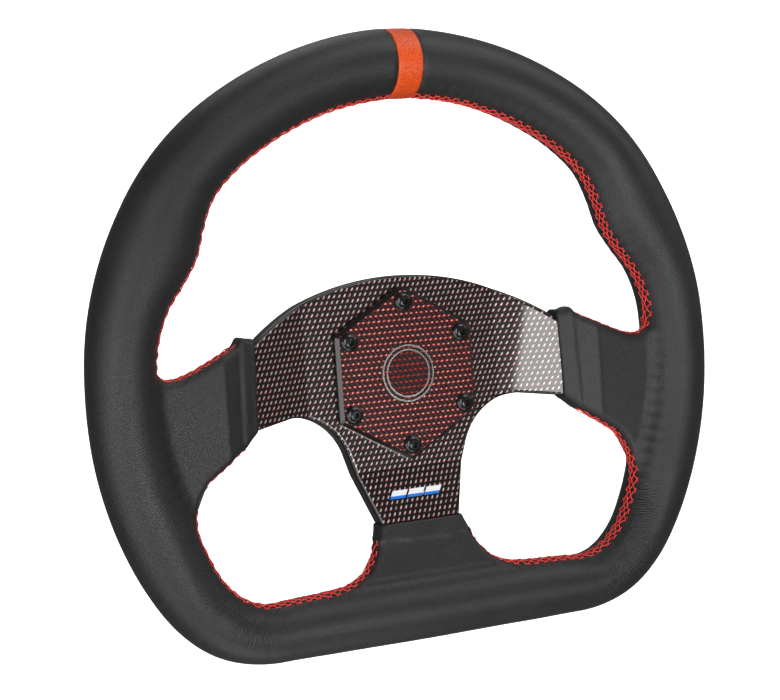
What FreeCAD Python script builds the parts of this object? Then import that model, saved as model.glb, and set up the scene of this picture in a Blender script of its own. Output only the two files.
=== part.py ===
"""Three-spoke racing steering wheel with a flat bottom, as an assembly of its real pieces.

Frame: millimetres. +Z is up, the driver sits on the -Y side and the steering column
is on the +Y side. The origin is the centre of the bolt circle on the rear face of the hub.
"""
import FreeCAD, Part
import math
import os
import Sketcher
from FreeCAD import Placement, Rotation, Vector

os.makedirs("parts", exist_ok=True)
doc = FreeCAD.newDocument("RacingWheel")

# ---------------------------------------------------------------- driving dimensions
SIZES = {
    "BoltCircle": 70.0,        # pitch circle of the six hub screws
    "ScrewThread": 5.0,        # the threaded end that stands out behind the hub
    "ScrewNeck": 4.4,          # the plain shank inside the hub
    "ScrewHole": 5.5,
    "ScrewHead": 9.5,
    "ScrewHeadHeight": 2.75,
    "ScrewProud": 6.0,         # how far the screws stand out behind the hub
    "HexKey": 3.0,
    "CentreBore": 59.0,
    "PlateFlats": 74.0,        # across the flats of the hexagonal plate
    "PlateThick": 4.5,
    "PlateCorner": 3.0,
    "PlateBevel": 1.6,
    "HubThick": 8.5,           # over both covers
    "FrameThick": 4.5,
    "CoverThick": 2.0,
    "FrontRound": 1.8,         # radius along the front cover's edges
    "RearRound": 1.0,
    "BendSide": 53.0,          # where the side arms bend towards the driver
    "BendLower": 47.0,         # where the lower arm bends
    "BendAngle": 20.0,
    "RimOffset": 21.8,         # the rim's middle plane lies this far in front of the hub
    "HubTop": 47.5,
    "HubTopRadius": 140.0,
    "ArmDrop": 19.0,           # lower edge of the side arms where their leather begins
    "CornerAcross": 62.0,      # centre of the round corner between a side arm and the lower arm
    "CornerDrop": 47.0,
    "CornerRadius": 31.0,
    "LowerLean": 18.2,         # the lower arm's edges lean inward by this angle
    "HemSide": 83.0,           # where the leather of the side arms begins
    "HemLower": 71.0,          # where the leather of the lower arm begins
    "HemGap": 0.4,             # between a cover's end and the leather
    "SleeveThick": 11.0,       # leather-covered arm, over the leather
    "LeatherThick": 1.2,
    "CoreDiameter": 12.0,
    "CoreRadius": 149.0,       # round part of the rim's centre line
    "CoreCorner": 40.0,        # lower corners of the rim's centre line
    "CoreFlat": 113.4,         # the flat bottom's centre line lies this far below the hub
    "RimDepth": 33.0,
    "MarkWidth": 13.0,
    "ThreadDiameter": 1.2,
    "BadgeOuter": 28.0,
    "BadgeInner": 23.6,        # outside of the badge's inner ring
    "BadgeLine": 0.8,          # width of each ring
    "BadgeThick": 0.4,         # of the disc, and again of the rings on it
    "DecalDrop": 58.5,         # the arm decal lies this far below the hub's centre
    "DecalWidth": 28.0,
    "DecalHeight": 4.0,
    "DecalGap": 1.2,
    "DecalLean": 1.2,
    "DecalThick": 0.3,
}

sheet = doc.addObject("Spreadsheet::Sheet", "Sizes")
for row, (alias, number) in enumerate(SIZES.items(), start=1):
    sheet.set("A%d" % row, alias)
    sheet.set("B%d" % row, str(number))
    sheet.setAlias("B%d" % row, alias)
doc.recompute()


class Size:
    """A length that carries its number and the sheet expression it comes from."""

    def __init__(self, number, text=None):
        self.number = float(number)
        self.text = text if text is not None else repr(float(number))

    def joined(self, other, sign, number):
        other = other if isinstance(other, Size) else Size(other)
        return Size(number, "(%s %s %s)" % (self.text, sign, other.text))

    def __add__(self, other):
        return self.joined(other, "+", self.number + value_of(other))

    def __sub__(self, other):
        return self.joined(other, "-", self.number - value_of(other))

    def __mul__(self, other):
        return self.joined(other, "*", self.number * value_of(other))

    def __truediv__(self, other):
        return self.joined(other, "/", self.number / value_of(other))

    def __rsub__(self, other):
        return Size(other) - self

    def __neg__(self):
        return Size(-self.number, "(0 - %s)" % self.text)


def value_of(item):
    """The number of a Size, or the number itself."""
    return item.number if isinstance(item, Size) else float(item)


def size(alias):
    """The cell of the sheet that has this alias."""
    return Size(sheet.get(alias), "Sizes.%s" % alias)


def bind(thing, prop, amount):
    """Set a property from a Size and keep it bound to the sheet."""
    if not prop.startswith("."):
        setattr(thing, prop, amount.number)
    thing.setExpression(prop, amount.text)


# ---------------------------------------------------------------- sketch helpers
FRONT = Rotation(Vector(1, 0, 0), 90)                  # sketch x, y -> row X, Z; normal -Y
SIDE = Rotation(Vector(0, 1, 0), Vector(0, 0, 1), Vector(1, 0, 0), "ZXY")    # sketch x, y -> row Y, Z


def pin_vertex(sketch, edge, end, x, z):
    """Hold one end of an edge at a place given by two Sizes."""
    for kind, amount in (("DistanceX", x), ("DistanceY", z)):
        name = sketch.addConstraint(Sketcher.Constraint(kind, -1, 1, edge, end, value_of(amount)))
        if isinstance(amount, Size):
            sketch.setExpression("Constraints[%d]" % name, amount.text)


def draw(sketch, path):
    """Draw a closed outline. Each step is (x, z) for a line or (x, z, radius, side) for an arc.

    side is +1 when the arc's centre lies to the left of its chord, -1 when to the right.
    """
    ends = [Vector(value_of(step[0]), value_of(step[1]), 0) for step in path]
    for number, step in enumerate(path):
        start, stop = ends[number - 1], ends[number]
        if len(step) == 2:
            edge = sketch.addGeometry(Part.LineSegment(start, stop))
            pin_vertex(sketch, edge, 2, step[0], step[1])
            continue
        radius, side = value_of(step[2]), step[3]
        chord = stop - start
        reach = math.sqrt(radius ** 2 - (chord.Length / 2) ** 2)
        normal = Vector(-chord.y, chord.x, 0) / chord.Length
        centre = (start + stop) / 2 + normal * reach * side
        middle = centre - normal * radius * side
        edge = sketch.addGeometry(Part.Arc(start, middle, stop))
        end = 2 if (sketch.getPoint(edge, 2) - stop).Length < 1e-6 else 1
        pin_vertex(sketch, edge, end, step[0], step[1])
        held = sketch.addConstraint(Sketcher.Constraint("Radius", edge, radius))
        if isinstance(step[2], Size):
            sketch.setExpression("Constraints[%d]" % held, step[2].text)
    count = len(path)
    for number in range(count):
        after = (number + 1) % count
        meeting = ends[number]
        near = 2 if (sketch.getPoint(number, 2) - meeting).Length < 1e-6 else 1
        far = 1 if (sketch.getPoint(after, 1) - meeting).Length < 1e-6 else 2
        sketch.addConstraint(Sketcher.Constraint("Coincident", number, near, after, far))


def pinned_circle(sketch, height, diameter):
    """A circle centred on the sketch's upright axis."""
    centre = Vector(0, height.number, 0)
    circle = sketch.addGeometry(Part.Circle(centre, Vector(0, 0, 1), diameter.number / 2))
    sketch.addConstraint(Sketcher.Constraint("PointOnObject", circle, 3, -2))
    rise = sketch.addConstraint(Sketcher.Constraint("DistanceY", -1, 1, circle, 3, height.number))
    sketch.setExpression("Constraints[%d]" % rise, height.text)
    wide = sketch.addConstraint(Sketcher.Constraint("Diameter", circle, diameter.number))
    sketch.setExpression("Constraints[%d]" % wide, diameter.text)


def free_sketch(name, path, rotation):
    """A sketch that belongs to no body, through the origin."""
    sketch = doc.addObject("Sketcher::SketchObject", name)
    sketch.Placement = Placement(Vector(0, 0, 0), rotation)
    draw(sketch, path)
    return sketch


def body_sketch(body, name, role):
    """A sketch on one of a body's own origin planes."""
    sketch = body.newObject("Sketcher::SketchObject", name)
    plane = next(item for item in body.Origin.OriginFeatures if item.Role == role)
    sketch.AttachmentSupport = [(plane, "")]
    sketch.MapMode = "FlatFace"
    return sketch


def extrude(name, sketch, direction, forward, backward=None):
    """A solid swept straight from a sketch."""
    solid = doc.addObject("Part::Extrusion", name)
    solid.Base = sketch
    solid.DirMode = "Custom"
    solid.Dir = direction
    solid.Solid = True
    bind(solid, "LengthFwd", forward)
    if backward is not None:
        bind(solid, "LengthRev", backward)
    return solid


def combine(kind, name, shapes):
    """A boolean of document objects: Fuse, Common or Cut (first minus second)."""
    result = doc.addObject("Part::" + kind, name)
    if kind in ("MultiFuse", "MultiCommon"):
        result.Shapes = shapes
    else:
        result.Base, result.Tool = shapes
    return result


def fixed_shape(name, shape):
    """A document object whose shape is worked out here."""
    thing = doc.addObject("Part::Feature", name)
    thing.Shape = shape
    return thing


# ---------------------------------------------------------------- bent plates
tilt = Size(math.tan(math.radians(SIZES["BendAngle"])), "tan(Sizes.BendAngle * 1deg)")
half_tilt = Size(math.tan(math.radians(SIZES["BendAngle"] / 2)), "tan(Sizes.BendAngle * 1deg / 2)")
middle_depth = size("HubThick") / 2
bend_rise = size("RimOffset") - middle_depth
side_bend_end = size("BendSide") + bend_rise / tilt
lower_bend_end = size("BendLower") + bend_rise / tilt
SIDE_REACH = Size(170.0)
LOWER_REACH = Size(150.0)
HUB_SPLIT = Size(46.0)         # the side plate ends and the lower arm's plate starts here
SLEEVE_SPLIT = Size(64.0)      # the side arms' padding runs down to here
UPPER_REACH = Size(70.0)
LOWER_HALF = Size(60.0)
CUT_FRONT, CUT_REAR = Size(60.0), Size(20.0)


def plate_profile(offset, bend, bend_end, reach):
    """Half of one face of the bent plate: pairs of (distance from the hub, depth)."""
    shift = -offset * half_tilt
    return [
        (bend + shift, -middle_depth - offset),
        (bend_end + shift, -size("RimOffset") - offset),
        (reach, -size("RimOffset") - offset),
    ]


def bent_slab(name, front, rear, split=HUB_SPLIT):
    """The three-armed bent plate between two offsets from its middle surface."""
    right_front = plate_profile(front, size("BendSide"), side_bend_end, SIDE_REACH)
    right_rear = plate_profile(rear, size("BendSide"), side_bend_end, SIDE_REACH)
    path = right_front + right_rear[::-1]
    path += [(-across, depth) for across, depth in right_rear]
    path += [(-across, depth) for across, depth in right_front[::-1]]
    side_sketch = free_sketch(name + "_side_profile", path, Rotation())
    side_slab = extrude(name + "_side", side_sketch, Vector(0, 0, 1), UPPER_REACH, split)

    down_front = plate_profile(front, size("BendLower"), lower_bend_end, LOWER_REACH)
    down_rear = plate_profile(rear, size("BendLower"), lower_bend_end, LOWER_REACH)
    path = [(depth, -drop) for drop, depth in down_front]
    path += [(depth, -drop) for drop, depth in down_rear[::-1]]
    path += [(-middle_depth - rear, -HUB_SPLIT), (-middle_depth - front, -HUB_SPLIT)]
    lower_sketch = free_sketch(name + "_lower_profile", path, SIDE)
    lower_slab = extrude(name + "_lower", lower_sketch, Vector(1, 0, 0), LOWER_HALF, LOWER_HALF)
    return combine("MultiFuse", name + "_slab", [side_slab, lower_slab])


def through(name, path):
    """An outline cut straight through from front to back."""
    sketch = free_sketch(name + "_sketch", path, FRONT)
    return extrude(name, sketch, Vector(0, -1, 0), CUT_FRONT, CUT_REAR)


def mirrored_path(right_half):
    """A closed outline from its right half, listed from the top down to the lower centre line."""
    left_half = []
    for number in range(len(right_half) - 1, -1, -1):
        step = right_half[number]
        after = right_half[number + 1] if number + 1 < len(right_half) else None
        if after is not None and len(after) == 4:
            left_half.append((-step[0], step[1], after[2], after[3]))
        else:
            left_half.append((-step[0], step[1]))
    return right_half + left_half


def trig(kind, alias):
    """A sine, cosine or tangent of one of the sheet's angles."""
    number = getattr(math, kind)(math.radians(SIZES[alias]))
    return Size(number, "%s(Sizes.%s * 1deg)" % (kind, alias))


def corner_steps(inset):
    """The round corner between a side arm and the lower arm, and the lower arm's straight edge."""
    radius = size("CornerRadius") + inset
    start = (size("CornerAcross"), radius - size("CornerDrop"))
    end_x = size("CornerAcross") - radius * trig("cos", "LowerLean")
    end_z = radius * trig("sin", "LowerLean") - size("CornerDrop")
    hem_x = end_x - (size("HemLower") + end_z) * trig("tan", "LowerLean")
    return [start, (end_x, end_z, radius, 1), (hem_x, -size("HemLower"))]


def hub_outline(inset):
    """Outline of the bare centre: an arched top, two short arms and the upper lower arm."""
    radius = size("HubTopRadius") - inset
    end_x = size("HemSide")
    top_drop = radius.number - math.sqrt(radius.number ** 2 - end_x.number ** 2)
    top_z = size("HubTop") - inset - top_drop
    path = mirrored_path([(end_x, top_z), (end_x, inset - size("ArmDrop"))] + corner_steps(inset))
    path[0] = (end_x, top_z, radius, -1)
    return path


# The leather-covered arms in front view, over the leather, as (across, up): the upper edge of
# the right arm from the rim to the hem, its lower edge from the hem to the rim, and the right
# edge of the lower arm from the hem to the rim.
ARM_UPPER_EDGE = [(146.0, 10.0), (124.0, 7.5), (105.0, 15.0)]
ARM_HEM = (24.0, -20.2)
ARM_LOWER_EDGE = [(98.0, -30.5), (112.0, -40.0), (120.0, -56.0), (140.0, -62.0)]
FOOT_HEM = 22.4
FOOT_EDGE = [(25.4, -81.0), (32.0, -92.0), (44.0, -99.0), (44.0, -113.0)]


def arm_outlines(inset):
    """Outlines of the leather-covered arms, from the hems out into the rim."""
    hem = size("HemSide") + size("HemGap")
    right = [(Size(x), Size(z) - inset) for x, z in ARM_UPPER_EDGE]
    right += [(hem, Size(ARM_HEM[0]) - inset), (hem, Size(ARM_HEM[1]) + inset)]
    right += [(Size(x), Size(z) + inset) for x, z in ARM_LOWER_EDGE]
    left = [(-x, z) for x, z in right[::-1]]
    foot = [(Size(FOOT_HEM) - inset, -size("HemLower") - size("HemGap"))]
    foot += [(Size(x) - inset, Size(z)) for x, z in FOOT_EDGE]
    return right, left, mirrored_path(foot)


# ---------------------------------------------------------------- the rim
# Stations round the right half of the rim: angle from the top in degrees, how far the grip
# reaches outside and inside the core's centre line, and its depth as a share of RimDepth.
RIM_STATIONS = [
    (0, 16.5, 16.5, 1.0),
    (15, 16.3, 16.5, 1.0),
    (30, 17.3, 15.8, 1.0),
    (42, 18.7, 14.8, 1.0),
    (51, 19.0, 16.6, 1.0),
    (60, 18.4, 22.0, 1.02),
    (68, 17.8, 19.6, 1.02),
    (76, 17.2, 15.6, 1.0),
    (88, 16.2, 16.2, 1.0),
    (102, 16.6, 16.6, 1.0),
    (116, 17.8, 15.4, 1.0),
    (127, 18.8, 11.6, 0.98),
    (137, 17.0, 12.6, 0.96),
    (147, 14.6, 14.4, 0.95),
    (162, 15.0, 14.8, 0.95),
    (180, 15.2, 15.2, 0.95),
]
SECTION_POINTS = 12
SECTION_STEP = 6.0             # degrees between the sections that the grip is made from


def core_point(angle):
    """A point of the rim's centre line, and the outward normal there, in the plane of the rim."""
    radius, corner, flat = SIZES["CoreRadius"], SIZES["CoreCorner"], SIZES["CoreFlat"]
    corner_z = corner - flat
    corner_x = math.sqrt((radius - corner) ** 2 - corner_z ** 2)
    ray = Vector(math.sin(math.radians(angle)), 0, math.cos(math.radians(angle)))
    corner_centre = Vector(corner_x, 0, corner_z)
    if ray.z * corner_x > corner_z * ray.x:
        return ray * radius, ray
    if ray.z * corner_x < -flat * ray.x:
        return ray * (-flat / ray.z), Vector(0, 0, -1)
    along = ray.dot(corner_centre)
    point = ray * (along + math.sqrt(along ** 2 - corner_centre.dot(corner_centre) + corner ** 2))
    return point, (point - corner_centre).normalize()


def rim_section(station, skin):
    """A closed oval section of the grip, set in from the leather's surface by skin."""
    angle, outside, inside, depth = station
    point, outward = core_point(angle)
    if angle in (0, 180):
        outward = Vector(0, 0, 1 if angle == 0 else -1)
    centre = point + outward * ((outside - inside) / 2) + Vector(0, -SIZES["RimOffset"], 0)
    wide = (outside + inside) / 2 - skin
    deep = SIZES["RimDepth"] / 2 * depth - skin
    turns = [2 * math.pi * number / SECTION_POINTS for number in range(SECTION_POINTS)]
    points = [centre + outward * (wide * math.cos(turn)) + Vector(0, deep * math.sin(turn), 0)
              for turn in turns]
    curve = Part.BSplineCurve()
    steps = [float(number) for number in range(SECTION_POINTS + 1)]
    curve.interpolate(Points=points, PeriodicFlag=True, Parameters=steps)
    return Part.Wire([curve.toShape()])


def station_at(angle):
    """The grip's station at any angle, eased between its neighbours in the list."""
    low = max(station for station in RIM_STATIONS if station[0] <= angle)
    high = min(station for station in RIM_STATIONS if station[0] >= angle)
    share = 0.0 if high[0] == low[0] else (angle - low[0]) / (high[0] - low[0])
    ease = (1 - math.cos(math.pi * share)) / 2
    return (angle,) + tuple(one + (two - one) * ease for one, two in zip(low[1:], high[1:]))


def rim_solid(skin):
    """The whole grip ring: straight-lined strips between closely spaced sections, sewn shut."""
    count = round(180 / SECTION_STEP)
    right = [rim_section(station_at(SECTION_STEP * number), skin) for number in range(count + 1)]
    left = [wire.mirror(Vector(0, 0, 0), Vector(1, 0, 0)) for wire in right[-2:0:-1]]
    wires = right + left
    faces = []
    for number, wire in enumerate(wires):
        following = wires[(number + 1) % len(wires)]
        faces += Part.makeLoft([wire, following], False, True, False).Faces
    shell = Part.Shell(faces)
    shell.sewShape()
    return Part.Solid(shell)


rim_outer = fixed_shape("rim_outer_form", rim_solid(0.0))
rim_inner = fixed_shape("rim_inner_form", rim_solid(SIZES["LeatherThick"]))


def ring_curve(reach, depth, angles):
    """Points along the grip's inner side, reach away from it."""
    points = []
    for angle in angles:
        point, outward = core_point(angle)
        points.append(point - outward * (station_at(angle)[2] + reach) + Vector(0, depth, 0))
    return points


# ---------------------------------------------------------------- skeleton
def core_body():
    """The rod that runs round the middle of the grip, welded to the three arms."""
    body = doc.addObject("PartDesign::Body", "rim_core")
    spine = body_sketch(body, "rim_core_path", "XZ_Plane")
    radius, corner, flat = size("CoreRadius"), size("CoreCorner"), size("CoreFlat")
    corner_z = corner - flat
    reach = radius - corner
    corner_x = Size(math.sqrt(reach.number ** 2 - corner_z.number ** 2),
                    "sqrt(%s ^ 2 - %s ^ 2)" % (reach.text, corner_z.text))
    join_x, join_z = corner_x * radius / reach, corner_z * radius / reach
    slant = corner.number * math.sin(math.radians(45))
    crown = Vector(0, radius.number, 0)
    join_right = Vector(join_x.number, join_z.number, 0)
    elbow_right = Vector(corner_x.number + slant, corner_z.number - slant, 0)
    foot_right = Vector(corner_x.number, -flat.number, 0)
    join_left, elbow_left, foot_left = (Vector(-point.x, point.y, 0)
                                        for point in (join_right, elbow_right, foot_right))
    top = spine.addGeometry(Part.Arc(join_right, crown, join_left))
    right = spine.addGeometry(Part.Arc(foot_right, elbow_right, join_right))
    left = spine.addGeometry(Part.Arc(join_left, elbow_left, foot_left))
    bottom = spine.addGeometry(Part.LineSegment(foot_left, foot_right))
    pin_vertex(spine, bottom, 1, -corner_x, -flat)
    pin_vertex(spine, bottom, 2, corner_x, -flat)
    pin_vertex(spine, top, 1, join_x, join_z)
    pin_vertex(spine, top, 2, -join_x, join_z)
    for edge, amount in ((top, radius), (right, corner), (left, corner)):
        held = spine.addConstraint(Sketcher.Constraint("Radius", edge, amount.number))
        spine.setExpression("Constraints[%d]" % held, amount.text)
    for first, second in ((right, top), (top, left), (left, bottom), (bottom, right)):
        spine.addConstraint(Sketcher.Constraint("Coincident", first, 2, second, 1))
    section = body_sketch(body, "rim_core_section", "YZ_Plane")
    pinned_circle(section, -flat, size("CoreDiameter"))
    doc.recompute()
    pipe = body.newObject("PartDesign::AdditivePipe", "rim_core_pipe")
    pipe.Profile = section
    pipe.Spine = spine
    section.Visibility = False
    body.Tip = pipe
    body.setExpression(".Placement.Base.y", "0 - Sizes.RimOffset")
    return body


rim_core = core_body()

half_frame = size("FrameThick") / 2
half_hub = size("HubThick") / 2
half_sleeve = size("SleeveThick") / 2
leather = size("LeatherThick")
no_inset = Size(0)
frame_inset = size("CoverThick") + 0.2
DRILL_LENGTH = 60.0


def screw_places():
    """Angle of each hub screw from the top, and its place in the plane of the hub."""
    for number in range(6):
        turn = math.radians(60 * number)
        yield number, Vector(math.sin(turn), 0, math.cos(turn)) * (SIZES["BoltCircle"] / 2)


def drilled(name, base, bore=True):
    """The hub's screw holes, and its centre bore, cut through a plate."""
    cutters = []
    for number, place in screw_places():
        hole = doc.addObject("Part::Cylinder", "%s_hole_%d" % (name, number + 1))
        bind(hole, "Radius", size("ScrewHole") / 2)
        hole.Height = DRILL_LENGTH
        hole.Placement = Placement(place + Vector(0, DRILL_LENGTH / 2, 0), FRONT)
        turn = "%d * 60deg" % number
        hole.setExpression(".Placement.Base.x", "Sizes.BoltCircle / 2 * sin(%s)" % turn)
        hole.setExpression(".Placement.Base.z", "Sizes.BoltCircle / 2 * cos(%s)" % turn)
        cutters.append(hole)
    if bore:
        hole = doc.addObject("Part::Cylinder", name + "_bore")
        bind(hole, "Radius", size("CentreBore") / 2)
        hole.Height = DRILL_LENGTH
        hole.Placement = Placement(Vector(0, DRILL_LENGTH / 2, 0), FRONT)
        cutters.append(hole)
    tools = combine("MultiFuse", name + "_holes", cutters)
    return combine("Cut", name, [base, tools])


def arm_solids(name, inset, front, rear):
    """The three leather-covered arms between two offsets from the plate's middle surface."""
    slab = bent_slab(name, front, rear, SLEEVE_SPLIT)
    arms = []
    for side, path in zip(("right", "left", "lower"), arm_outlines(inset)):
        outline = through("%s_%s" % (name, side), path)
        arms.append(combine("Common", "%s_%s_arm" % (name, side), [slab, outline]))
    return arms


# The aluminium plate's right arm beyond the hub, as (across, up), from its shoulder down.
FRAME_SHOULDER = 76.0
FRAME_ARM = [(104.0, 9.0), (149.0, -2.0), (149.0, -40.0), (108.0, -32.0)]


def frame_outline():
    """Outline of the aluminium plate: the hub and three arms that reach the rod."""
    radius = size("HubTopRadius") - frame_inset
    top_drop = radius.number - math.sqrt(radius.number ** 2 - FRAME_SHOULDER ** 2)
    shoulder = (Size(FRAME_SHOULDER), size("HubTop") - frame_inset - top_drop)
    corner = corner_steps(frame_inset)
    right = [shoulder] + [(Size(x), Size(z)) for x, z in FRAME_ARM]
    right += [(size("HemSide"), frame_inset - size("ArmDrop"))] + corner
    right += [(corner[-1][0], -size("CoreFlat"))]
    path = mirrored_path(right)
    path[0] = shoulder + (radius, -1)
    return path


def face_depth(point, offset):
    """Depth of the bent plate's face at this offset, over a point of the front view."""
    slope = tilt.number
    across = abs(point.x) - (SIZES["BendSide"] - offset * half_tilt.number)
    down = -point.z - (SIZES["BendLower"] - offset * half_tilt.number)
    return -middle_depth.number - offset - max(across, down, 0.0) * slope


def rounded(name, base, offset, radius):
    """Round the outer edges of one face of a cover, leaving its bend lines and hem ends crisp."""
    doc.recompute()
    chosen = []
    for number, edge in enumerate(base.Shape.Edges, start=1):
        first, last = edge.FirstParameter, edge.LastParameter
        points = [edge.valueAt(first + (last - first) * share) for share in (0.0, 0.35, 0.7, 1.0)]
        on_face = all(abs(point.y - face_depth(point, offset)) < 1e-3 for point in points)
        upright = max(point.x for point in points) - min(point.x for point in points) < 1e-6
        level = max(point.z for point in points) - min(point.z for point in points) < 1e-6
        at_bend = upright or (level and points[0].z < 0)
        if on_face and not at_bend:
            chosen.append((number, SIZES[radius], SIZES[radius]))
    result = doc.addObject("Part::Fillet", name)
    result.Base = base
    result.Edges = chosen
    return result


frame_slab = bent_slab("frame", half_frame, -half_frame)
frame_blank = combine("Common", "frame_blank", [frame_slab, through("frame_outline", frame_outline())])
frame_notched = combine("Cut", "frame_notched", [frame_blank, rim_core])
spoke_frame = drilled("spoke_frame", frame_notched)

cover_slab = bent_slab("cover", half_hub, -half_frame)
cover_outer = combine("Common", "cover_outer", [cover_slab, through("cover_outline", hub_outline(no_inset))])
front_shell = combine("Cut", "front_shell", [cover_outer, frame_blank])
front_rounded = rounded("front_rounded", front_shell, half_hub.number, "FrontRound")
carbon_front_cover = drilled("carbon_front_cover", front_rounded, bore=False)

rear_slab = bent_slab("rear", -half_frame, -half_hub)
rear_sheet = combine("Common", "rear_sheet", [rear_slab, through("rear_outline", hub_outline(no_inset))])
rear_rounded = rounded("rear_rounded", rear_sheet, -half_hub.number, "RearRound")
carbon_rear_cover = drilled("carbon_rear_cover", rear_rounded)

# ---------------------------------------------------------------- grip and leather
sleeve_arms = arm_solids("sleeve", no_inset, half_sleeve, -half_sleeve)
pad_arms = arm_solids("pad", leather, half_sleeve - leather, leather - half_sleeve)
bones = combine("MultiFuse", "bones", [rim_core, frame_blank])
foam_grip = combine("Cut", "foam_grip", [rim_inner, bones])
arm_pads = []
arm_leathers = []
for side, sleeve, pad in zip(("right", "left", "lower"), sleeve_arms, pad_arms):
    hollow = combine("Cut", "sleeve_hollow_" + side, [sleeve, pad])
    arm_leathers.append(combine("Cut", "arm_leather_" + side, [hollow, rim_inner]))
    bare = combine("Cut", "pad_bare_" + side, [pad, frame_blank])
    arm_pads.append(combine("Cut", "arm_pad_" + side, [bare, rim_inner]))
rim_skin = combine("Cut", "rim_skin", [rim_outer, rim_inner])

mark_slice = doc.addObject("Part::Box", "mark_slice")
bind(mark_slice, "Length", size("MarkWidth"))
mark_slice.Width = 60
mark_slice.Height = 60
# The slice takes in the whole depth and height of the rim at its top.
mark_slice.Placement = Placement(Vector(-SIZES["MarkWidth"] / 2, -50, 120), Rotation())
mark_slice.setExpression(".Placement.Base.x", "0 - Sizes.MarkWidth / 2")
gaps = combine("MultiFuse", "rim_skin_gaps", [mark_slice] + sleeve_arms)
rim_leather = combine("Cut", "rim_leather", [rim_skin, gaps])
centre_mark_band = combine("Common", "centre_mark_band", [rim_skin, mark_slice])

# ---------------------------------------------------------------- hub plate and screws
def hexagon(flats):
    """A hexagon standing on a corner."""
    flat = flats / 2
    reach = flats / math.sqrt(3)
    return [(flat, reach / 2), (flat, -reach / 2), (Size(0), -reach),
            (-flat, -reach / 2), (-flat, reach / 2), (Size(0), reach)]


def hexagon_plate():
    """The hexagonal plate on the hub: corners rounded, front edge bevelled, six screw holes."""
    body = doc.addObject("PartDesign::Body", "hex_plate")
    sketch = body_sketch(body, "hex_plate_outline", "XZ_Plane")
    draw(sketch, hexagon(size("PlateFlats")))
    doc.recompute()
    pad = body.newObject("PartDesign::Pad", "hex_plate_pad")
    pad.Profile = sketch
    bind(pad, "Length", size("PlateThick"))
    doc.recompute()
    corners = body.newObject("PartDesign::Fillet", "hex_plate_corners")
    uprights = ["Edge%d" % (n + 1) for n, edge in enumerate(pad.Shape.Edges)
                if abs(edge.tangentAt(edge.FirstParameter).y) > 0.99]
    corners.Base = (pad, uprights)
    bind(corners, "Radius", size("PlateCorner"))
    doc.recompute()
    front = min(vertex.Y for vertex in corners.Shape.Vertexes)
    front_edges = ["Edge%d" % (n + 1) for n, edge in enumerate(corners.Shape.Edges)
                   if abs(edge.BoundBox.YMax - front) < 1e-4]
    bevel = body.newObject("PartDesign::Chamfer", "hex_plate_bevel")
    bevel.Base = (corners, front_edges)
    bind(bevel, "Size", size("PlateBevel"))
    doc.recompute()
    hole_sketch = body_sketch(body, "hex_plate_hole", "XZ_Plane")
    pinned_circle(hole_sketch, size("BoltCircle") / 2, size("ScrewHole"))
    doc.recompute()
    hole = body.newObject("PartDesign::Pocket", "hex_plate_pocket")
    hole.Profile = hole_sketch
    hole.Type = "ThroughAll"
    hole.Midplane = True
    doc.recompute()
    pattern = body.newObject("PartDesign::PolarPattern", "hex_plate_holes")
    pattern.Originals = [hole]
    pattern.Axis = (hole_sketch, ["N_Axis"])
    pattern.Angle = 360
    pattern.Occurrences = 6
    body.Tip = pattern
    body.setExpression(".Placement.Base.y", "0 - Sizes.HubThick")
    return body


CROWN_SHARE = 0.42             # the head's flat crown, as a share of its radius
CROWN_CURVE = 0.42             # the head's dome radius, as a share of its diameter
HEAD_SIDE = 0.2                # the head's straight side, as a share of its height
KEY_FLOOR = 0.25               # the socket's floor, as a share of the head's height
STUD_CHAMFER = 0.6
LARGEST_SOCKET = 30.0          # mm3


def hub_screw(number, place):
    """A button-head socket screw along the hub's axis, its head resting on the plate."""
    body = doc.addObject("PartDesign::Body", "hub_screw_%d" % (number + 1))
    sketch = body_sketch(body, body.Name + "_profile", "XY_Plane")
    thread, neck, head = size("ScrewThread") / 2, size("ScrewNeck") / 2, size("ScrewHead") / 2
    tall = size("ScrewHeadHeight")
    seat = -(size("HubThick") + size("PlateThick"))
    draw(sketch, [
        (Size(0), seat - tall),
        (head * CROWN_SHARE, seat - tall),
        (head, seat - tall * HEAD_SIDE, size("ScrewHead") * CROWN_CURVE, 1),
        (head, seat),
        (neck, seat),
        (neck, Size(0)),
        (thread, Size(0)),
        (thread, size("ScrewProud") - STUD_CHAMFER),
        (thread - STUD_CHAMFER, size("ScrewProud")),
        (Size(0), size("ScrewProud")),
    ])
    doc.recompute()
    turned = body.newObject("PartDesign::Revolution", body.Name + "_turned")
    turned.Profile = sketch
    turned.ReferenceAxis = (sketch, ["V_Axis"])
    turned.Angle = 360
    doc.recompute()
    key_sketch = body_sketch(body, body.Name + "_key", "XZ_Plane")
    draw(key_sketch, hexagon(size("HexKey")))
    bind(key_sketch, ".AttachmentOffset.Base.z", -seat + tall * KEY_FLOOR)
    doc.recompute()
    whole = turned.Shape.Volume
    socket = body.newObject("PartDesign::Pocket", body.Name + "_socket")
    socket.Profile = key_sketch
    socket.Type = "ThroughAll"
    socket.Reversed = True
    doc.recompute()
    removed = whole - socket.Shape.Volume
    if not 0.0 < removed < LARGEST_SOCKET:
        raise SystemExit("the socket of %s is cut the wrong way: %.1f" % (body.Name, removed))
    body.Tip = socket
    turn = "%d * 60deg" % number
    body.Placement = Placement(place, Rotation())
    body.setExpression(".Placement.Base.x", "Sizes.BoltCircle / 2 * sin(%s)" % turn)
    body.setExpression(".Placement.Base.z", "Sizes.BoltCircle / 2 * cos(%s)" % turn)
    return body


hex_plate = hexagon_plate()
hub_screws = [hub_screw(number, place) for number, place in screw_places()]


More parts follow.
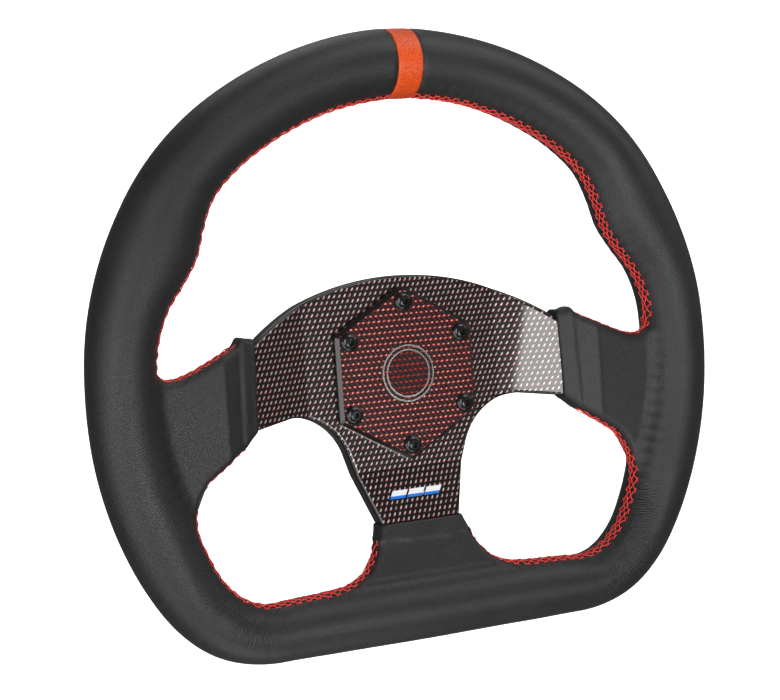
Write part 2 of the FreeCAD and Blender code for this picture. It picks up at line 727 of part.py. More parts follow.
# ---------------------------------------------------------------- trim
def disc(name, radius, seat, thick):
    """A round disc facing the driver, its back at the depth seat."""
    solid = doc.addObject("Part::Cylinder", name)
    bind(solid, "Radius", radius)
    bind(solid, "Height", thick)
    solid.Placement = Placement(Vector(0, -seat.number, 0), FRONT)
    solid.setExpression(".Placement.Base.y", "0 - %s" % seat.text)
    return solid


def slanted_bar(name, across, width, height, lean, thick):
    """A thin bar with slanted ends facing the driver, its back in the plane y = 0."""
    low, high = -height / 2, height / 2
    path = [(across - width / 2 - lean, low), (across + width / 2 - lean, low),
            (across + width / 2 + lean, high), (across - width / 2 + lean, high)]
    return extrude(name, free_sketch(name + "_sketch", path, FRONT), Vector(0, -1, 0), thick)


def badge_rings(seat):
    """Two thin rings, one inside the other."""
    rings = []
    for name, diameter in (("outer", size("BadgeOuter")), ("inner", size("BadgeInner"))):
        blank = disc("badge_%s_blank" % name, diameter / 2, seat, size("BadgeThick"))
        eye = disc("badge_%s_eye" % name, diameter / 2 - size("BadgeLine"), seat, size("BadgeThick"))
        rings.append(combine("Cut", "badge_%s_ring" % name, [blank, eye]))
    return combine("MultiFuse", "badge_ring", rings)


plate_front = size("HubThick") + size("PlateThick")
badge_front = plate_front + size("BadgeThick")
badge_disc = disc("badge_disc", size("BadgeOuter") / 2, plate_front, size("BadgeThick"))
badge_ring = badge_rings(badge_front)


def decal_stripes():
    """Three slanted stripes on the lower arm, each its own thin plate, following the arm's slope."""
    pitch = size("DecalWidth") / 3
    width = pitch - size("DecalGap")
    seat = size("HubThick") + (size("DecalDrop") - size("BendLower") + half_tilt * half_hub) * tilt
    stripes = [
        slanted_bar("decal_stripe_%d" % (number + 2), pitch * number, width,
                    size("DecalHeight"), size("DecalLean"), size("DecalThick"))
        for number in (-1, 0, 1)
    ]
    decal = combine("MultiFuse", "arm_decal", stripes)
    decal.Placement = Placement(Vector(0, -seat.number, -SIZES["DecalDrop"]),
                                Rotation(Vector(-1, 0, 0), SIZES["BendAngle"]))
    decal.setExpression(".Placement.Base.y", "0 - %s" % seat.text)
    decal.setExpression(".Placement.Base.z", "0 - Sizes.DecalDrop")
    decal.setExpression(".Placement.Rotation.Angle", "Sizes.BendAngle * 1deg")
    return decal


arm_decal = decal_stripes()


# ---------------------------------------------------------------- stitching
def thread_run(name, points):
    """A thread laid along a smooth line through points."""
    line = Part.BSplineCurve()
    line.interpolate(points)
    spine = Part.Wire([line.toShape()])
    start, along = line.value(line.FirstParameter), line.tangent(line.FirstParameter)[0]
    ring = Part.Wire([Part.Circle(start, along, SIZES["ThreadDiameter"] / 2).toShape()])
    return fixed_shape(name, spine.makePipeShell([ring], True, True))


SEAM_FORWARD = 3.0             # the seam lies this far in front of the rim's middle plane
seam_depth = -SIZES["RimOffset"] - SEAM_FORWARD
THREAD_GAP = 0.35
clear = SIZES["ThreadDiameter"] / 2 + THREAD_GAP


def reflected(points):
    """The same line on the left, listed from its far end."""
    return [Vector(-point.x, point.y, point.z) for point in points[::-1]]


# Where each run leaves the rim and follows the edge of an arm towards its hem.
UPPER_ANGLES = [4, 15, 30, 42, 51, 60, 68, 76, 82]
UPPER_ARM = [Vector(122, -21.5, 10.6), Vector(113, -21.8, 14.4),
             Vector(103, -20.5, 18.2), Vector(92, -17.0, 22.6)]
LOWER_ARM = [Vector(92, -17.0, -27.8), Vector(103, -20.5, -35.8), Vector(111.5, -21.8, -43.0)]
LOWER_ANGLES = [116, 122, 127, 132, 137, 143, 150]
LOWER_FOOT = [Vector(50, seam_depth, -97.0), Vector(38, -21.8, -95.0), Vector(29.2, -18.5, -87.5)]

upper_right = ring_curve(clear, seam_depth, UPPER_ANGLES) + UPPER_ARM
stitch_upper = thread_run("stitch_upper", reflected(upper_right) + upper_right)
lower_right = LOWER_ARM + ring_curve(clear, seam_depth, LOWER_ANGLES) + LOWER_FOOT
stitch_lower_right = thread_run("stitch_lower_right", lower_right)
stitch_lower_left = thread_run("stitch_lower_left", reflected(lower_right))

# ---------------------------------------------------------------- checks and files
NODES = [
    rim_core, spoke_frame, foam_grip, rim_leather, centre_mark_band,
    stitch_upper, stitch_lower_right, stitch_lower_left,
    carbon_front_cover, carbon_rear_cover, hex_plate, badge_ring, badge_disc, arm_decal,
] + arm_pads + arm_leathers + hub_screws

doc.recompute()
for thing in doc.Objects:
    if "Invalid" in thing.State or "Error" in thing.State:
        raise SystemExit("%s did not recompute: %s" % (thing.Name, thing.State))
for node in NODES:
    node.Label = node.Name
    shape = node.Shape
    if shape.isNull() or not shape.isValid() or not shape.Solids:
        raise SystemExit("%s has no valid shape" % node.Name)
    shape.exportStep("parts/%s.step" % node.Label)
    print("%-22s solids %d  volume %.1f mm3" % (node.Label, len(shape.Solids), shape.Volume))
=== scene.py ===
"""Racing steering wheel: leather, lacing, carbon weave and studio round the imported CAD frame."""
import math

import bmesh
import bpy
import numpy as np
from mathutils import Matrix, Vector


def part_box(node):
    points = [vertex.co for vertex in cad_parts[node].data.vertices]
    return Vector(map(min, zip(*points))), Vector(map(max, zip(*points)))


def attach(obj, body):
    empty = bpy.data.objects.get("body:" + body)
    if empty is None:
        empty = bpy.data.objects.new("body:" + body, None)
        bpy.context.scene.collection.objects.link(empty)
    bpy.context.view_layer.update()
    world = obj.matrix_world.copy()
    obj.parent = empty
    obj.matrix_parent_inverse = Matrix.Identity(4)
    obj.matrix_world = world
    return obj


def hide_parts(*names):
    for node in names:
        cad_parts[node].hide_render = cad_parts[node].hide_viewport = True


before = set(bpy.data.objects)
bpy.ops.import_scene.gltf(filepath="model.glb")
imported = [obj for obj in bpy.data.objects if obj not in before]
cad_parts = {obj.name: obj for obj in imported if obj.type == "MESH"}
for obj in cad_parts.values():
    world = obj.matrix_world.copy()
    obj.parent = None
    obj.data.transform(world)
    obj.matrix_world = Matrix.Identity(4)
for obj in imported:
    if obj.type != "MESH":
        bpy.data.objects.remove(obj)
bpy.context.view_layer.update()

MM = 0.001

# ---------------------------------------------------------------- sizes read from the frame
def node_box(name):
    """Low and high corner of a CAD node, in millimetres."""
    return tuple(np.array(corner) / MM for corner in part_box(name))


rim_low, rim_high = node_box("rim_leather")
core_low, core_high = node_box("rim_core")
mark_low, mark_high = node_box("centre_mark_band")
plate_back = node_box("hex_plate")[1][1]
arm_start = node_box("arm_leather_right")[0][0]
foot_start = node_box("arm_leather_lower")[1][2]

RIM_DEPTH = (rim_high[1] - rim_low[1]) / 2            # half the rim's depth
RIM_PLANE = (core_low[1] + core_high[1]) / 2          # depth of the rim's middle plane
CORE = (core_high[0] - core_low[0]) / 2 - (core_high[1] - core_low[1]) / 2
CORE_FLAT = -(core_low[2] + (core_high[1] - core_low[1]) / 2)
HEM_SIDE = arm_start
HEM_LOWER = -foot_start
MARK_HALF = (mark_high[0] - mark_low[0]) / 2
HUB_MIDDLE = plate_back / 2    # depth of the hub's middle plane

# ---------------------------------------------------------------- the leather's form
BEND_SIDE, BEND_LOWER = 53.0, 47.0
BEND_SLOPE = math.tan(math.radians(20))
BEND_RISE = HUB_MIDDLE - RIM_PLANE
SLEEVE_HALF = 5.5
CORNER = 40.0                  # radius of the core's lower corners
# Round the right half: angle from the top, reach outside and inside the core line, depth share.
STATIONS = np.array([
    (0, 16.5, 16.6, 1.0), (15, 16.3, 16.4, 1.0), (30, 17.3, 15.8, 1.0), (40, 18.6, 14.8, 1.0),
    (48, 19.1, 15.2, 1.0), (54, 18.9, 18.8, 1.01), (60, 18.3, 22.4, 1.03), (66, 17.9, 21.0, 1.03),
    (72, 17.5, 17.2, 1.01), (78, 17.1, 15.4, 1.0), (88, 16.2, 16.0, 1.0), (102, 16.6, 16.6, 1.0),
    (114, 17.8, 16.4, 1.0), (121, 18.6, 13.6, 0.99), (129, 18.9, 11.0, 0.98), (136, 17.2, 12.2, 0.96),
    (144, 15.0, 14.2, 0.95), (158, 14.9, 14.8, 0.95), (180, 15.2, 15.0, 0.95),
])
CELL = 1.25                    # spacing of the grid that the leather's surface is found on
GRID_MARGIN = 3                # the grid reaches this far past the rim
LONGEST_MOVE = 0.6             # of a grid vertex in one step onto the surface


def smooth_table(angles, column):
    """A station value at each angle: a smooth curve through the stations."""
    known = STATIONS[:, 0]
    values = STATIONS[:, column]
    slopes = np.gradient(values, known)
    slopes[0] = slopes[-1] = 0.0
    place = np.clip(np.searchsorted(known, angles) - 1, 0, len(known) - 2)
    span = known[place + 1] - known[place]
    t = (angles - known[place]) / span
    return ((2 * t ** 3 - 3 * t ** 2 + 1) * values[place] + (t ** 3 - 2 * t ** 2 + t) * span * slopes[place]
            + (3 * t ** 2 - 2 * t ** 3) * values[place + 1] + (t ** 3 - t ** 2) * span * slopes[place + 1])


CORNER_Z = CORNER - CORE_FLAT
CORNER_X = math.sqrt((CORE - CORNER) ** 2 - CORNER_Z ** 2)


def core_distance(x, z):
    """Signed distance outward from the core's centre line, on the right half."""
    in_arc = z * CORNER_X > CORNER_Z * x
    in_corner = ~in_arc & (x > CORNER_X)
    arc = np.hypot(x, z) - CORE
    corner = np.hypot(x - CORNER_X, z - CORNER_Z) - CORNER
    flat = -z - CORE_FLAT
    return np.where(in_arc, arc, np.where(in_corner, corner, flat))


def ease(low, high, value):
    t = np.clip((value - low) / (high - low), 0, 1)
    return t * t * (3 - 2 * t)


def wave_noise(seed, scale):
    """A smooth, repeatable pattern of three variables, about -1 to 1."""
    rng = np.random.default_rng(seed)
    waves = rng.normal(size=(7, 3)) / scale
    phases = rng.uniform(0, 2 * math.pi, 7)

    def sample(x, y, z):
        total = 0
        for (a, b, c), phase in zip(waves, phases):
            total = total + np.sin(a * x + b * y + c * z + phase)
        return total / 3.2
    return sample


soft_noise = wave_noise(3, 9.0)
broad_noise = wave_noise(5, 26.0)
PUCKER_PITCH, PUCKER_DEPTH = 7.0, 0.2            # gathers along the seam
CREASE_PITCH, CREASE_DEPTH = 5.2, 0.32           # creases at the lower corners
ELBOW_PITCH, ELBOW_DEPTH = 3.4, 0.18             # fine creases where the arms join
SWELL_DEPTH = 0.16                               # slow unevenness of the whole rim
GROOVE_DEPTH, GROOVE_HALF = 0.75, 0.55           # the groove at each edge of the mark
UNDER_MARK = 0.55                                # the leather's step down under the mark
CORNER_ANGLE, ELBOW_ANGLE = 128, 91              # from the top, in degrees


def bell(value, middle, width):
    """A smooth hump: 1 at the middle, falling off over the width."""
    return np.exp(-((value - middle) / width) ** 2)


def rim_distance(x, y, z):
    """Distance from the rim's leather, with its swellings, wrinkles and the groove of the mark."""
    side = np.abs(x)
    angle = np.degrees(np.arctan2(side, z))
    outward = core_distance(side, z)
    outside, inside, deep = (smooth_table(angle, column) for column in (1, 2, 3))
    wide = (outside + inside) / 2
    deep = deep * RIM_DEPTH
    across = outward - (outside - inside) / 2
    forward = -(y - RIM_PLANE)
    reach = np.hypot(across / wide, forward / deep)
    steep = np.hypot(across / wide ** 2, forward / deep ** 2) + 1e-9
    distance = (reach - 1) * np.maximum(reach, 1e-3) / steep
    turn = np.arctan2(forward, -across)                      # 0 at the inner side, + towards the driver
    along = np.radians(angle) * CORE
    pucker = np.cos(2 * math.pi * along / PUCKER_PITCH) * bell(turn, 0.2, 0.55) * PUCKER_DEPTH
    corner_zone = bell(angle, CORNER_ANGLE, 15.0) * bell(turn, 0.55, 0.75)
    creases = np.sin(2 * math.pi * along / CREASE_PITCH + 1.6 * soft_noise(x, y, z) + 2.4 * turn)
    uneven = 1 + 0.6 * soft_noise(z, x, y)
    wrinkle = corner_zone * (CREASE_DEPTH * np.abs(creases) ** 1.5 - 0.12) * uneven
    elbow = bell(angle, ELBOW_ANGLE, 5.0) * bell(turn, 0.9, 0.35)
    fine = elbow * ELBOW_DEPTH * np.sin(2 * math.pi * along / ELBOW_PITCH + 2.0 * soft_noise(y, z, x))
    swell = SWELL_DEPTH * broad_noise(x, y, z)
    groove = GROOVE_DEPTH * np.exp(-((side - MARK_HALF - 0.5) / GROOVE_HALF) ** 4) * (z > 0)
    under_mark = UNDER_MARK * (side < MARK_HALF) * (z > 0)
    return distance - pucker + wrinkle + fine - swell + groove + under_mark


def plate_offset(x, y, z):
    """How far a point stands in front of the bent plate's middle surface."""
    drop = np.maximum(np.abs(x) - BEND_SIDE, -z - BEND_LOWER)
    rise = np.clip(drop * BEND_SLOPE, 0, BEND_RISE)
    slant = np.where((rise > 0) & (rise < BEND_RISE), 1 / math.hypot(1, BEND_SLOPE), 1.0)
    return -(y - HUB_MIDDLE + rise) * slant


def outline_distance(x, z, corners):
    """Signed distance from a closed polygon in the front view."""
    corners = np.array(corners, float)
    best = np.full(x.shape, 1e9)
    inside = np.zeros(x.shape, bool)
    for (ax, az), (bx, bz) in zip(corners, np.roll(corners, -1, axis=0)):
        ex, ez = bx - ax, bz - az
        t = np.clip(((x - ax) * ex + (z - az) * ez) / (ex * ex + ez * ez), 0, 1)
        best = np.minimum(best, np.hypot(x - ax - t * ex, z - az - t * ez))
        crosses = (az > z) != (bz > z)
        at = ax + (z - az) * ex / np.where(ez == 0, 1e-9, ez)
        inside ^= crosses & (x < at)
    return np.where(inside, -best, best)


ARM_OUTLINE = [
    (60, 24.4), (84, 24.2), (94, 20.6), (105, 15.4), (114, 11.4), (121, 9.0), (127, 8.4), (133, 10.4),
    (150, 12), (150, -62), (122, -64), (119.0, -55), (116, -46.5), (111, -39.4), (98, -30.8),
    (90, -25.4), (84, -20.6), (60, -20.2),
]
FOOT_EDGE = [(22.4, -50), (22.4, -71), (24.2, -77.5), (27.8, -86), (34.0, -93.2), (44, -98.6), (56, -101),
             (56, -113)]
FOOT_OUTLINE = FOOT_EDGE + [(-across, up) for across, up in FOOT_EDGE[::-1]]
HEM_LEAN = 0.03                # the side arms' hems lean by this much
HEM_BAND = (9.0, 7.2)          # the folded band ends between these distances from the hem
BAND_THICK, LIP_THICK = 0.7, 0.25
CRUMPLE_DEPTH = 0.35
ARM_ROUNDING = 3.2
UPPER_BUMP, EDGE_BUMP = 2.2, 0.5    # how far the band's edge swells out of the arm's outline


def arm_distance(x, y, z, outline, hem, hem_bump):
    """Distance from one leather-covered arm: a soft-edged plate with a hem where it starts."""
    flat = outline_distance(x, z, outline)
    offset = np.abs(plate_offset(x, y, z))
    band = ease(*HEM_BAND, hem) * BAND_THICK + bell(hem, 1.1, 1.0) * LIP_THICK
    crumple = bell(hem, 8.6, 1.6) * CRUMPLE_DEPTH * soft_noise(x * 1.5, y, z * 1.5)
    thick = SLEEVE_HALF - 0.5 + band - crumple
    edge_bump = hem_bump * bell(hem, 7.0, 2.8)
    a, b = flat - edge_bump + ARM_ROUNDING, offset - thick + ARM_ROUNDING
    outside = np.hypot(np.maximum(a, 0), np.maximum(b, 0))
    round_part = outside + np.minimum(np.maximum(a, b), 0) - ARM_ROUNDING
    return np.maximum(round_part, -hem)


VALLEY = 4.5                   # how softly the arms run into the rim


def blend_min(a, b, soft):
    """The nearer of two surfaces, with a small fillet where they meet."""
    h = np.clip(0.5 + 0.5 * (b - a) / soft, 0, 1)
    return b + (a - b) * h - soft * h * (1 - h)


def leather_distance(points):
    """Distance from the leather's outer surface, in millimetres."""
    x, y, z = points[..., 0], points[..., 1], points[..., 2]
    side = np.abs(x)
    rim = rim_distance(x, y, z)
    hem_side = side - HEM_SIDE + HEM_LEAN * (z + 20)
    arm = arm_distance(side, y, z, ARM_OUTLINE, hem_side, UPPER_BUMP * (z > 0) + EDGE_BUMP)
    foot = arm_distance(x, y, z, FOOT_OUTLINE, -z - HEM_LOWER, EDGE_BUMP)
    return blend_min(blend_min(rim, arm, VALLEY), foot, VALLEY)


def slopes_of(points, distance=leather_distance, step=0.05):
    """Direction away from the surface at each point."""
    out = np.empty_like(points)
    for axis in range(3):
        shift = np.zeros(3)
        shift[axis] = step
        out[:, axis] = distance(points + shift) - distance(points - shift)
    return out / (np.linalg.norm(out, axis=1, keepdims=True) + 1e-12)


def settle(points, lift=0.0, rounds=4, distance=leather_distance):
    """Points moved onto the surface, lift above it."""
    points = points.copy()
    for _ in range(rounds):
        normal = slopes_of(points, distance)
        points -= normal * (distance(points) - lift)[:, None] * 0.9
    return points


def surface_net(low, high, cell, distance):
    """Vertices and quads of the surface where distance is zero."""
    axes = [np.arange(low[i], high[i] + cell, cell) for i in range(3)]
    grid = np.stack(np.meshgrid(*axes, indexing="ij"), axis=-1)
    value = np.concatenate([distance(part) for part in np.array_split(grid, 24, axis=0)])
    inside = value < 0
    cells = [slice(0, -1), slice(1, None)]
    total = np.zeros(tuple(n - 1 for n in inside.shape) + (3,))
    count = np.zeros(tuple(n - 1 for n in inside.shape))
    for axis in range(3):
        others = [i for i in range(3) if i != axis]
        for first in cells:
            for second in cells:
                near, far = [None] * 3, [None] * 3
                near[axis], far[axis] = cells[0], cells[1]
                near[others[0]] = far[others[0]] = first
                near[others[1]] = far[others[1]] = second
                a, b = value[tuple(near)], value[tuple(far)]
                hit = (a < 0) != (b < 0)
                t = np.where(hit, a / np.where(hit, a - b, 1), 0)
                pa, pb = grid[tuple(near)], grid[tuple(far)]
                total += np.where(hit[..., None], pa + (pb - pa) * t[..., None], 0)
                count += hit
    used = count > 0
    index = np.full(used.shape, -1)
    index[used] = np.arange(used.sum())
    verts = total[used] / count[used][:, None]
    quads = []
    for axis in range(3):
        u, v = [(1, 2), (2, 0), (0, 1)][axis]
        near, far = [slice(1, -1)] * 3, [slice(1, -1)] * 3
        near[axis], far[axis] = slice(0, -1), slice(1, None)
        a, b = inside[tuple(near)], inside[tuple(far)]
        where = np.argwhere(a != b)
        flip = b[a != b]
        base = where.copy()
        base[:, u] += 1
        base[:, v] += 1
        ring = []
        for du, dv in ((0, 0), (1, 0), (1, 1), (0, 1)):
            at = base.copy()
            at[:, u] -= du
            at[:, v] -= dv
            ring.append(index[at[:, 0], at[:, 1], at[:, 2]])
        quad = np.stack(ring, axis=1)
        quad[flip] = quad[flip][:, ::-1]
        quads.append(quad)
    return verts, np.concatenate(quads)


def mesh_object(name, verts, faces):
    """A smooth mesh object from points in millimetres."""
    mesh = bpy.data.meshes.new(name)
    mesh.from_pydata((np.asarray(verts) * MM).tolist(), [], faces)
    mesh.validate()
    mesh.polygons.foreach_set("use_smooth", [True] * len(mesh.polygons))
    piece = bpy.data.objects.new(name, mesh)
    bpy.context.scene.collection.objects.link(piece)
    return piece


def face_outward(piece):
    """Turn a closed piece's faces so that they all look outward."""
    bm = bmesh.new()
    bm.from_mesh(piece.data)
    bmesh.ops.recalc_face_normals(bm, faces=bm.faces)
    bm.to_mesh(piece.data)
    bm.free()


def tube_mesh(name, lines, radius, sides=6):
    """Round threads along equally long lines of points, as one piece with closed ends."""
    count, rings, _ = lines.shape
    along = np.gradient(lines, axis=1)
    along /= np.linalg.norm(along, axis=2, keepdims=True)
    normal = slopes_of(lines.reshape(-1, 3)).reshape(lines.shape)
    side = np.cross(along, normal)
    side /= np.linalg.norm(side, axis=2, keepdims=True) + 1e-9
    normal = np.cross(side, along)
    turn = 2 * math.pi * np.arange(sides) / sides
    around = (np.cos(turn)[:, None] * side[:, :, None, :] + np.sin(turn)[:, None] * normal[:, :, None, :])
    verts = (lines[:, :, None, :] + radius * around).reshape(-1, 3)
    faces = []
    for line in range(count):
        start = line * rings * sides
        for ring in range(rings - 1):
            a, b = start + ring * sides, start + (ring + 1) * sides
            for k in range(sides):
                following = (k + 1) % sides
                faces.append((a + k, a + following, b + following, b + k))
        last = start + (rings - 1) * sides
        faces.append(tuple(start + k for k in range(sides))[::-1])
        faces.append(tuple(last + k for k in range(sides)))
    return mesh_object(name, verts, faces)


# ---------------------------------------------------------------- leather, mark and lacing
def build_leather():
    """The whole leather skin, found on a grid and settled onto its exact surface."""
    cell = CELL * 1.0
    verts, quads = surface_net(rim_low - GRID_MARGIN, rim_high + GRID_MARGIN, cell, leather_distance)
    for _ in range(3):
        normal = slopes_of(verts)
        verts -= normal * np.clip(leather_distance(verts), -LONGEST_MOVE, LONGEST_MOVE)[:, None] * 0.9
    piece = mesh_object("leather_wrap", verts, quads.tolist())
    face_outward(piece)
    return piece


def core_line(angle):
    """Point of the core's centre line and the outward direction there, on the right half."""
    ray = np.array([math.sin(math.radians(angle)), math.cos(math.radians(angle))])
    low, high = 60.0, 200.0
    for _ in range(40):
        middle = (low + high) / 2
        if core_distance(np.array(ray[0] * middle), np.array(ray[1] * middle)) < 0:
            low = middle
        else:
            high = middle
    point = ray * low
    step = 0.01
    here = [core_distance(np.array(point[0] + dx), np.array(point[1] + dz)) for dx, dz in
            ((step, 0), (-step, 0), (0, step), (0, -step))]
    out = np.array([here[0] - here[1], here[2] - here[3]])
    return point, out / np.linalg.norm(out)


def plain_rim(points):
    """Distance from the rim without the mark's groove, for what lies in that groove."""
    x, y, z = points[..., 0], points[..., 1], points[..., 2]
    return rim_distance(np.where(np.abs(x) < MARK_HALF + 3, MARK_HALF + 3.5, x), y, z)


def build_mark():
    """The contrasting band at the top: a strip round the rim, rounded at both edges."""
    point = core_line(0)[0]
    edge = [(-1.0, -1.1), (-1.0, -0.12), (-0.985, 0.03), (-0.94, 0.14), (-0.86, 0.2)]
    crown = [(a, 0.2 + 0.08 * (1 - a * a)) for a in np.linspace(-0.7, 0.7, 9)]
    shape = edge + crown + [(-a, h) for a, h in edge[::-1]]
    turns = 96
    turn = np.linspace(0, 2 * math.pi, turns, endpoint=False)
    reach = 17.0
    seeds = np.stack([0 * turn, RIM_PLANE - np.sin(turn) * reach, point[1] + np.cos(turn) * reach], axis=1)
    for _ in range(8):
        seeds -= slopes_of(seeds, plain_rim) * plain_rim(seeds)[:, None] * 0.9
    away = slopes_of(seeds, plain_rim)
    verts = []
    for k in range(turns):
        for a, h in shape:
            place = seeds[k] + away[k] * h
            verts.append((a * (MARK_HALF - 0.15), place[1], place[2]))
    n = len(shape)
    faces = []
    for k in range(turns):
        following = (k + 1) % turns
        for s in range(n):
            t = (s + 1) % n
            faces.append((k * n + s, k * n + t, following * n + t, following * n + s))
    piece = mesh_object("centre_mark", verts, faces)
    face_outward(piece)
    return piece


def smooth_path(points, spacing):
    """Evenly spaced points on a rounded line through a few guide points."""
    points = np.asarray(points, float)
    ends = np.vstack([2 * points[0] - points[1], points, 2 * points[-1] - points[-2]])
    out = []
    for k in range(1, len(ends) - 2):
        a, b, c, d = ends[k - 1], ends[k], ends[k + 1], ends[k + 2]
        for t in np.linspace(0, 1, 12, endpoint=False):
            out.append(0.5 * (2 * b + (c - a) * t + (2 * a - 5 * b + 4 * c - d) * t ** 2
                              + (3 * b - a - 3 * c + d) * t ** 3))
    out.append(points[-1])
    out = np.array(out)
    length = np.concatenate([[0], np.cumsum(np.linalg.norm(np.diff(out, axis=0), axis=1))])
    count = max(2, round(length[-1] / spacing)) + 1
    at = np.linspace(0, length[-1], count)
    return np.stack([np.interp(at, length, out[:, i]) for i in range(3)], axis=1)


def rim_guide(angle, forward):
    """A guide point on the rim's inner side, forward of its middle plane."""
    point, out = core_line(angle)
    inside = float(smooth_table(np.array([float(angle)]), 2)[0])
    place = point - out * (inside + 0.5)
    return (place[0], RIM_PLANE - forward, place[1])


SEAM_FORWARD = 3.6
LACE_PITCH = 5.2
LACE_HALF = 2.6                # half the lacing's width
LACE_SPAN = 2                  # a thread crosses to the hole this many places on
THREAD = 0.27                  # a thread's radius
UNDER_LIFT, OVER_LIFT = 0.24, 0.56   # how high the two crossing threads stand
BITE_REACH, BITE_HALF = 0.45, 1.3    # the small stitch beyond each hole
HOLE_SCATTER = 0.22
ARM_SEAM_BACK = 0.6            # on the arms' edges the seam lies this far behind the plate's middle


def arm_guide(x, z):
    """A guide point on the edge of an arm, on the bent plate's middle."""
    drop = min(max(abs(x) - BEND_SIDE, -z - BEND_LOWER, 0) * BEND_SLOPE, BEND_RISE)
    return (x, HUB_MIDDLE - drop + ARM_SEAM_BACK, z)


def lacing(name, guides):
    """Crossed stitches between two rows of holes, each with a small bite beyond its hole."""
    path = settle(smooth_path(guides, LACE_PITCH), rounds=6)
    along = np.gradient(path, axis=0)
    along /= np.linalg.norm(along, axis=1, keepdims=True)
    normal = slopes_of(path)
    across = np.cross(along, normal)
    across /= np.linalg.norm(across, axis=1, keepdims=True)
    across *= np.where(across[:, 1:2] > 0, -1, 1)
    rng = np.random.default_rng(len(guides))
    jitter = rng.normal(0, HOLE_SCATTER, (2, len(path), 1))
    front = settle(path + across * LACE_HALF + along * jitter[0], rounds=5)
    back = settle(path - across * LACE_HALF + along * jitter[1], rounds=5)
    threads, lifts = [], []
    share = np.linspace(0, 1, 13)[:, None]
    arch = np.abs(2 * share - 1) ** 6
    for k in range(len(path) - LACE_SPAN):
        ends = ((front[k], back[k + LACE_SPAN], UNDER_LIFT), (back[k], front[k + LACE_SPAN], OVER_LIFT))
        for first, second, lift in ends:
            threads.append(first + (second - first) * share)
            lifts.append(lift + 0.12 - (lift + 0.5) * arch)
    for row, sign in ((front, 1), (back, -1)):
        for k in range(len(path)):
            tip = row[k] + across[k] * sign * BITE_REACH
            threads.append(tip + along[k] * BITE_HALF * (2 * share - 1))
            lifts.append(0.3 - 0.6 * np.abs(2 * share - 1) ** 4)
    threads, lifts = np.array(threads), np.array(lifts)
    flat = settle(threads.reshape(-1, 3), rounds=4)
    flat += slopes_of(flat) * lifts.reshape(-1, 1)
    return tube_mesh(name, flat.reshape(threads.shape), THREAD)


UPPER_SEAM_ANGLES = (10, 22, 34, 44, 52, 60, 68, 75, 81)
UPPER_ARM_SEAM = [(128.6, 12.4), (121, 9.0), (113, 11.9), (104, 15.9), (93.5, 20.8)]
LOWER_ARM_SEAM = [(92, -26.6), (101, -32.8), (111, -39.6), (117, -48.5)]
LOWER_SEAM_ANGLES = (119, 126, 133, 141, 150, 155)
FOOT_SEAM = [(37, -95.6), (29.0, -88), (25.2, -80.5)]


def mirrored(guides):
    """The same guide points on the left half."""
    return [tuple(np.array(point) * (-1.0, 1.0, 1.0)) for point in guides]


leather = build_leather()
mark = build_mark()
upper_half = [rim_guide(angle, SEAM_FORWARD) for angle in UPPER_SEAM_ANGLES]
upper_half += [arm_guide(*place) for place in UPPER_ARM_SEAM]
upper_guides = mirrored(upper_half[::-1]) + [rim_guide(0, SEAM_FORWARD)] + upper_half
lower_guides = [arm_guide(*place) for place in LOWER_ARM_SEAM]
lower_guides += [rim_guide(angle, SEAM_FORWARD) for angle in LOWER_SEAM_ANGLES]
lower_guides += [arm_guide(*place) for place in FOOT_SEAM]
upper_lacing = lacing("lacing_upper", upper_guides)
lower_right_lacing = lacing("lacing_lower_right", lower_guides)
lower_left_lacing = lacing("lacing_lower_left", mirrored(lower_guides))

for piece, nodes, slot in (
    (leather, ("rim_leather", "arm_leather_right", "arm_leather_left", "arm_leather_lower"), "black_leather"),
    (mark, ("centre_mark_band",), "orange_leather"),
    (upper_lacing, ("stitch_upper",), "red_thread"),
    (lower_right_lacing, ("stitch_lower_right",), "red_thread"),
    (lower_left_lacing, ("stitch_lower_left",), "red_thread"),
):
    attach(piece, "root")
    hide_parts(*nodes)


